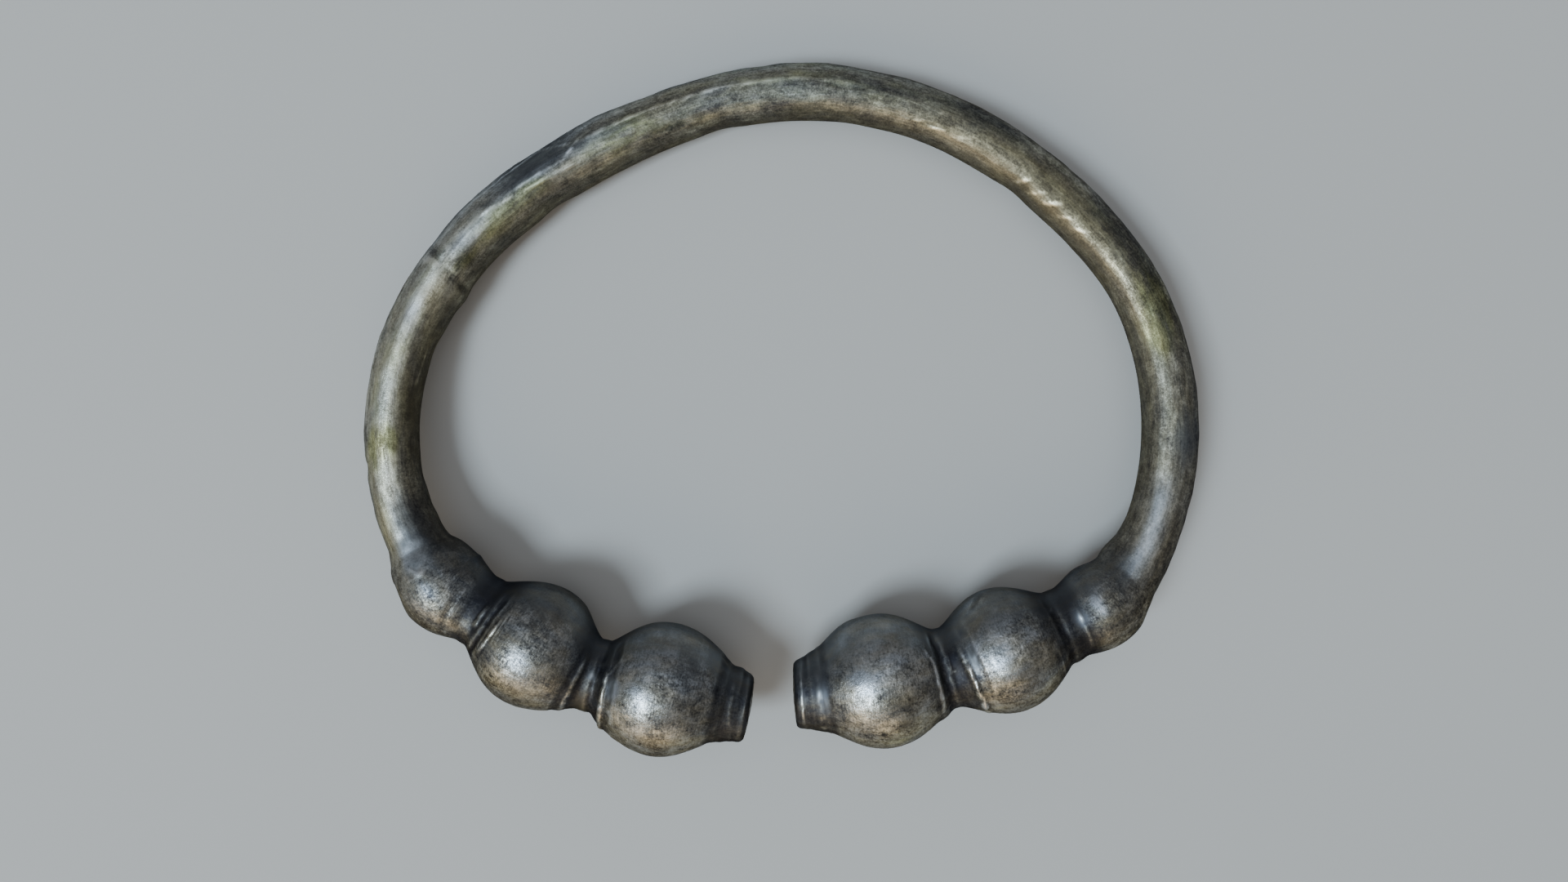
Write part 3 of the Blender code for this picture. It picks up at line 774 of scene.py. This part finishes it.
def patina_and_painted_light_of(skin, lines):
    """Tarnish with its painted shade and painted highlights, speckle, warm and cool tint with painted
    warm light and cool shade, and olive all over the skin.
    """
    on_rod = skin.on_rod
    on_beads = 1 - on_rod
    outer = skin.region("outer")
    outer_edge = skin.region("outer_edge")
    arm = skin.region("arm")
    bead_side = skin.region("bead_side")
    rod_side = skin.region("rod_side")
    hollow = 1 - smoothstep(skin.radius[:, None], *HOLLOW_RADIUS)
    hollow = hollow * (1 - smoothstep(skin.from_nearer_end, *LAST_WAIST_ENDS))
    crest = np.clip((lines - blurred(lines, *CREST_BLUR)) / FULL_CREST, -1.0, 1.0)

    tarnish_and_painted_light = added(
        PLAIN_TARNISH + tarnish_and_painted_light_along(skin, outer, arm),
        # Darker on the rod's and the beads' arm side (partly tarnishing, partly painted shade on sides
        # turned from the lamps) and on the rod's outer edge (painted shade where it would mirror the pale
        # floor)
        (0.16, on_rod * rod_side),
        (0.10, on_rod * arm),
        (0.12, on_rod * outer_edge),
        (0.16, on_beads * bead_side),
        (0.46, hollow),
        (-0.22, hollow * bead_side),
        # Painted shade: the low outer side and the underside are darkened against the pale floor's
        # reflection
        (0.10, skin.region("low_outer")),
        (0.25, skin.region("underside")),
        (-0.52, np.maximum(crest, 0)),
        (0.12, np.maximum(-crest, 0)),
        (0.06, skin.lumps),
    )
    speckle = added(
        PLAIN_SPECKLE,
        (-0.30, on_rod * rod_side),
        (-0.80, on_beads * skin.region("smooth_side")),
        (-0.50, hollow),
        (0.20, np.maximum(crest, 0)),
    )
    warmth_and_painted_light = added(
        PLAIN_WARMTH,
        # Warmer on the outer side, browner on the rod's arm side, cooler on the rod's outer edge and the
        # beads' arm half: partly the silver's own tint, partly painted warm light from the front and
        # painted cool shade on the sides turned from it
        (0.25, outer),
        (0.05, on_rod),
        (0.14, on_rod * arm),
        (-0.60, on_rod * outer_edge),
        (-0.75, on_beads * skin.region("arm_half")),
        (-0.30, hollow),
    )
    olive = ROD_OLIVE * smoothstep(skin.from_nearer_end, *OLIVE_BEGINS) * (1 - OLIVE_LOSS * outer_edge)
    for end, place, turn, half_length, half_breadth, darker, rougher, warmer, greener in STAINS_AND_PAINTED_LIGHT:
        spot = skin.spot(end, place, turn, half_length, half_breadth)
        tarnish_and_painted_light += darker * spot
        speckle += rougher * spot
        warmth_and_painted_light += warmer * spot
        olive += greener * spot
    return np.dstack([tarnish_and_painted_light, np.clip(speckle, *SPECKLE_LIMITS), warmth_and_painted_light * 0.5 + 0.5, olive])


def cap(skin, end):
    """Points of one end face, ring by ring to its middle, slightly domed and pitted."""
    row = 0 if end == "left" else -1
    edge_radius = skin.radius[row] + skin.relief[row]
    rings = []
    for share in np.linspace(1.0, 0.0, CAP_RINGS + 1)[1:]:
        sideways = share * edge_radius * skin.outwardness
        up = share * edge_radius * skin.upness
        points = zip(sideways * FACE_WAVES, up * FACE_WAVES)
        uneven = np.array([fractal((*point, FACE_SEED), FACE_OCTAVES) for point in points])
        rise = TERMINALS[end]["dome"] * (1 - share ** 2) + FACE_HEIGHT * uneven
        slip = share * skin.slip[row] + OUT_OF_FACE[end] * rise
        flat = skin.centre[row] + skin.outward[row] * sideways[:, None]
        flat = flat + skin.heading[row] * slip[:, None]
        rings.append(np.column_stack([flat, up]))
    return rings


def bracelet_mesh(skin, patina_and_painted_light):
    body = skin.points(skin.radius[:, None] + skin.relief, skin.slip)
    on_rod = np.broadcast_to(skin.on_rod, skin.relief.shape)
    vertices = list(body)
    textures = list(skin.straight)
    colours = list(patina_and_painted_light)
    rods = list(on_rod)
    faces = []

    def join(first, second, flip):
        for side in range(SIDES):
            after = (side + 1) % SIDES
            quad = (first + side, first + after, second + after, second + side)
            faces.append(quad[::-1] if flip else quad)

    for ring in range(len(body) - 1):
        join(ring * SIDES, (ring + 1) * SIDES, True)
    for end, row, flip in (("left", 0, False), ("right", len(body) - 1, True)):
        before = row * SIDES
        for points in cap(skin, end):
            join(before, len(vertices) * SIDES, flip)
            before = len(vertices) * SIDES
            share = np.linalg.norm(points - points.mean(axis=0), axis=1) / skin.radius[row]
            vertices.append(points)
            textures.append(skin.straight[row] * np.column_stack([np.ones(SIDES), share, share]))
            from_rim = smoothstep(1 - share, 0.0, FACE_RIM)[:, None]
            colours.append((1 - from_rim) * patina_and_painted_light[row] + from_rim * np.array(FACE_PATINA))
            rods.append(on_rod[row])

    mesh = bpy.data.meshes.new("silver_bracelet")
    mesh.from_pydata(np.concatenate(vertices) * MM, [], faces)
    for name, kind, field, values in (
        ("straight", "FLOAT_VECTOR", "vector", textures),
        ("patina_and_painted_light", "FLOAT_COLOR", "color", colours),
        ("on_rod", "FLOAT", "value", rods),
    ):
        attribute = mesh.attributes.new(name, kind, "POINT")
        attribute.data.foreach_set(field, np.concatenate(values).ravel().astype(np.float32))
    return mesh


def resting_turn(skin):
    """The turn that lays the hoop on its two big beads and its back."""
    touching = np.array([END_TO_BIG_BEAD, skin.back_place, skin.length - END_TO_BIG_BEAD])
    centre = np.stack([np.interp(touching, skin.distance, skin.centre[:, i]) for i in (0, 1)], axis=-1)
    radius = np.interp(touching, skin.distance, skin.radius)
    sideways = np.linalg.solve(centre[1:] - centre[0], radius[0] - radius[1:])
    down = Vector((*sideways, -math.sqrt(1 - sideways @ sideways)))
    return down.rotation_difference(Vector((0, 0, -1))).to_matrix()


def resting_place(skin, turn):
    """How far the turned hoop is moved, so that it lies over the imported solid."""
    plain = skin.points(np.repeat(skin.radius[:, None], SIDES, axis=1), np.zeros_like(skin.slip))
    corners = plain.reshape(-1, 3) @ np.array(turn).T
    low, high = corners.min(axis=0) * MM, corners.max(axis=0) * MM
    move = (cad_box[0] + cad_box[1]) / 2 - Vector((low + high) / 2)
    move.z = -low[2] - REST_WEAR * MM
    return move


class Graph:
    """Short calls for building a material's nodes."""

    def __init__(self, material):
        material.use_nodes = True
        self.tree = material.node_tree
        self.shader = self.tree.nodes["Principled BSDF"]

    def add(self, kind, inputs, **settings):
        node = self.tree.nodes.new(kind)
        for name, value in settings.items():
            setattr(node, name, value)
        for key, value in inputs.items():
            self.feed(node.inputs[key], value)
        return node

    def feed(self, socket, value):
        if isinstance(value, bpy.types.NodeSocket):
            self.tree.links.new(value, socket)
        else:
            socket.default_value = value

    def sum(self, first, factor, second):
        """first + factor * second"""
        inputs = {0: second, 1: factor, 2: first}
        return self.add("ShaderNodeMath", inputs, operation="MULTIPLY_ADD").outputs[0]

    def product(self, first, second):
        return self.add("ShaderNodeMath", {0: first, 1: second}, operation="MULTIPLY").outputs[0]

    def ranged(self, value, low, high, to_low=0.0, to_high=1.0):
        inputs = {"Value": value, "From Min": low, "From Max": high, "To Min": to_low, "To Max": to_high}
        return self.add("ShaderNodeMapRange", inputs, interpolation_type="SMOOTHSTEP").outputs[0]

    def noise(self, vector, per_mm, detail, roughness, distortion):
        """Noise centred on 0, with its own number of waves for each axis."""
        spread = self.add("ShaderNodeMapping", {"Vector": vector, "Scale": per_mm}).outputs[0]
        settings = {"Scale": 1.0, "Detail": detail, "Roughness": roughness, "Distortion": distortion}
        value = self.add("ShaderNodeTexNoise", {"Vector": spread, **settings}).outputs[0]
        return self.add("ShaderNodeMath", {0: value, 1: 0.5}, operation="SUBTRACT").outputs[0]

    def mix(self, factor, first, second, **settings):
        inputs = {0: factor, 6: first, 7: second}
        return self.add("ShaderNodeMix", inputs, data_type="RGBA", **settings).outputs[2]

    def blend(self, factor, first, second):
        return self.add("ShaderNodeMix", {0: factor, 2: first, 3: second}, data_type="FLOAT").outputs[0]

    def by_place(self, on_rod, on_beads, along_rod):
        """One amount on the beads and another along the rod."""
        return self.sum(on_beads, along_rod - on_beads, on_rod)

    def layered(self, layers, amounts, on_rod):
        """Sum of layers, each with its own amount on the beads and along the rod."""
        total = 0.0
        for name, on_beads, along_rod in amounts:
            total = self.sum(total, self.by_place(on_rod, on_beads, along_rod), layers[name])
        return total


def silver_colour(graph, dark, warmth_and_painted_light, olive, clouds):
    ramp = graph.add("ShaderNodeValToRGB", {"Fac": dark})
    elements = ramp.color_ramp.elements
    while len(elements) < len(SILVER_COLOURS):
        elements.new(0.5)
    for element, (place, colour) in zip(elements, SILVER_COLOURS):
        element.position = place
        element.color = (*colour, 1.0)
    tint = graph.mix(warmth_and_painted_light, COOL_TINT, WARM_TINT)
    tinted = graph.mix(1.0, ramp.outputs[0], tint, blend_type="MULTIPLY")
    greenish = graph.mix(1.0, tinted, OLIVE_TINT, blend_type="MULTIPLY")
    return graph.mix(graph.sum(olive, OLIVE_CLOUDS, graph.product(olive, clouds)), tinted, greenish)


def old_silver():
    """Silver worn bright where it is touched and dark with tarnishing in its hollows; darker on the arm's
    side, partly tarnishing and partly painted shade; darker on its outer edges and underside as painted
    shade; and bright with painted highlights where the key light's highlights fall.
    """
    material = bpy.data.materials.new("old_silver")
    graph = Graph(material)
    straight = graph.add("ShaderNodeAttribute", {}, attribute_name="straight").outputs["Vector"]
    patina_and_painted_light = graph.add("ShaderNodeAttribute", {}, attribute_name="patina_and_painted_light").outputs
    tarnish_and_painted_light, speckle, warmth_and_painted_light = graph.add("ShaderNodeSeparateColor", {"Color": patina_and_painted_light["Color"]}).outputs
    olive = patina_and_painted_light["Alpha"]
    on_rod = graph.add("ShaderNodeAttribute", {}, attribute_name="on_rod").outputs["Fac"]

    layers = {name: graph.noise(straight, *form) for name, form in SILVER_NOISE.items()}
    clouds = graph.blend(on_rod, layers["bead_clouds"], layers["rod_clouds"])
    pits = graph.product(graph.ranged(layers["specks"], *PIT_SPECKS), graph.ranged(clouds, *PIT_CLOUDS))
    layers["clouds"] = clouds
    layers["pits"] = graph.product(pits, graph.by_place(on_rod, *PIT_SHARES))
    layers["strokes"] = graph.blend(on_rod, layers["bead_strokes"], layers["rod_strokes"])
    uneven = graph.sum(-USUAL_DARKENING, 1.0, graph.layered(layers, DARKENING, on_rod))
    dark = graph.sum(tarnish_and_painted_light, speckle, uneven)
    warmth_and_painted_light = graph.sum(warmth_and_painted_light, graph.by_place(on_rod, *HUE_WANDER), layers["hue"])
    colour = silver_colour(graph, dark, warmth_and_painted_light, olive, clouds)

    roughness = graph.ranged(dark, 0.0, BLACK_FROM, CLEAN_ROUGHNESS, BLACK_ROUGHNESS)
    roughness = graph.sum(roughness, ROD_ROUGHNESS, on_rod)
    roughness = graph.sum(roughness, SPECKLE_ROUGHNESS, graph.product(speckle, layers["grains"]))

    height = graph.product(graph.layered(layers, STANDING_OUT, on_rod), speckle)
    bump = {"Strength": BUMP_STRENGTH, "Distance": BUMP_HEIGHT * MM, "Height": height}
    graph.feed(graph.shader.inputs["Base Color"], colour)
    graph.feed(graph.shader.inputs["Roughness"], roughness)
    graph.feed(graph.shader.inputs["Normal"], graph.add("ShaderNodeBump", bump).outputs[0])
    graph.shader.inputs["Metallic"].default_value = 1.0
    graph.shader.inputs["Specular Tint"].default_value = GRAZING_TINT
    return material


def make_bracelet():
    skin = Skin()
    lines = raise_marks(skin)
    slant_faces(skin)
    mesh = bracelet_mesh(skin, patina_and_painted_light_of(skin, lines))
    turn = resting_turn(skin)
    place = resting_place(skin, turn)
    mesh.transform(Matrix.Translation(place) @ turn.to_4x4())
    resting = np.empty(len(mesh.vertices) * 3, np.float32)
    mesh.vertices.foreach_get("co", resting)
    resting[2::3] = np.maximum(resting[2::3], 0.0)
    mesh.vertices.foreach_set("co", resting)
    mesh.shade_smooth()
    mesh.materials.append(old_silver())
    bracelet = bpy.data.objects.new("silver_bracelet", mesh)
    bpy.context.scene.collection.objects.link(bracelet)
    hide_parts("bracelet")
    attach(bracelet, "root")
    return turn, place


def make_camera(turn, place):
    camera = bpy.data.objects.new("camera", bpy.data.cameras.new("camera"))
    bpy.context.scene.collection.objects.link(camera)
    camera.data.sensor_width = SENSOR_WIDTH
    camera.data.lens = LENS
    camera.data.clip_start = NEAREST_SEEN * MM
    over = Vector((*VIEW_OVER, VIEW_HEIGHT)) * MM
    camera.matrix_world = Matrix.Translation(place) @ turn.to_4x4() @ Matrix.Translation(over)
    bpy.context.scene.camera = camera


def soft_light(name, direction, distance, size, power, colour):
    """A large soft light at a distance in metres, aimed at the bracelet's middle."""
    light = bpy.data.objects.new(name, bpy.data.lights.new(name, "AREA"))
    bpy.context.scene.collection.objects.link(light)
    light.data.shape = "RECTANGLE"
    light.data.size, light.data.size_y = size
    light.data.energy = power
    light.data.color = colour
    light.location = Vector(direction).normalized() * distance
    light.rotation_euler = light.location.to_track_quat("Z", "Y").to_euler()


def make_studio():
    for light in LIGHTS:
        soft_light(*light)
    world = bpy.data.worlds.new("studio")
    world.use_nodes = True
    background = world.node_tree.nodes["Background"]
    background.inputs["Color"].default_value = SURROUND_COLOUR
    background.inputs["Strength"].default_value = SURROUND_STRENGTH
    bpy.context.scene.world = world


def make_floor():
    bpy.ops.mesh.primitive_circle_add(vertices=FLOOR_SIDES, radius=FLOOR_RADIUS, fill_type="NGON")
    floor = bpy.context.object
    floor.name = "floor"
    material = bpy.data.materials.new("pale_floor")
    graph = Graph(material)
    graph.shader.inputs["Base Color"].default_value = FLOOR_COLOUR
    graph.shader.inputs["Roughness"].default_value = FLOOR_ROUGHNESS
    floor.data.materials.append(material)


hoop_turn, hoop_place = make_bracelet()
make_camera(hoop_turn, hoop_place)
make_studio()
make_floor()
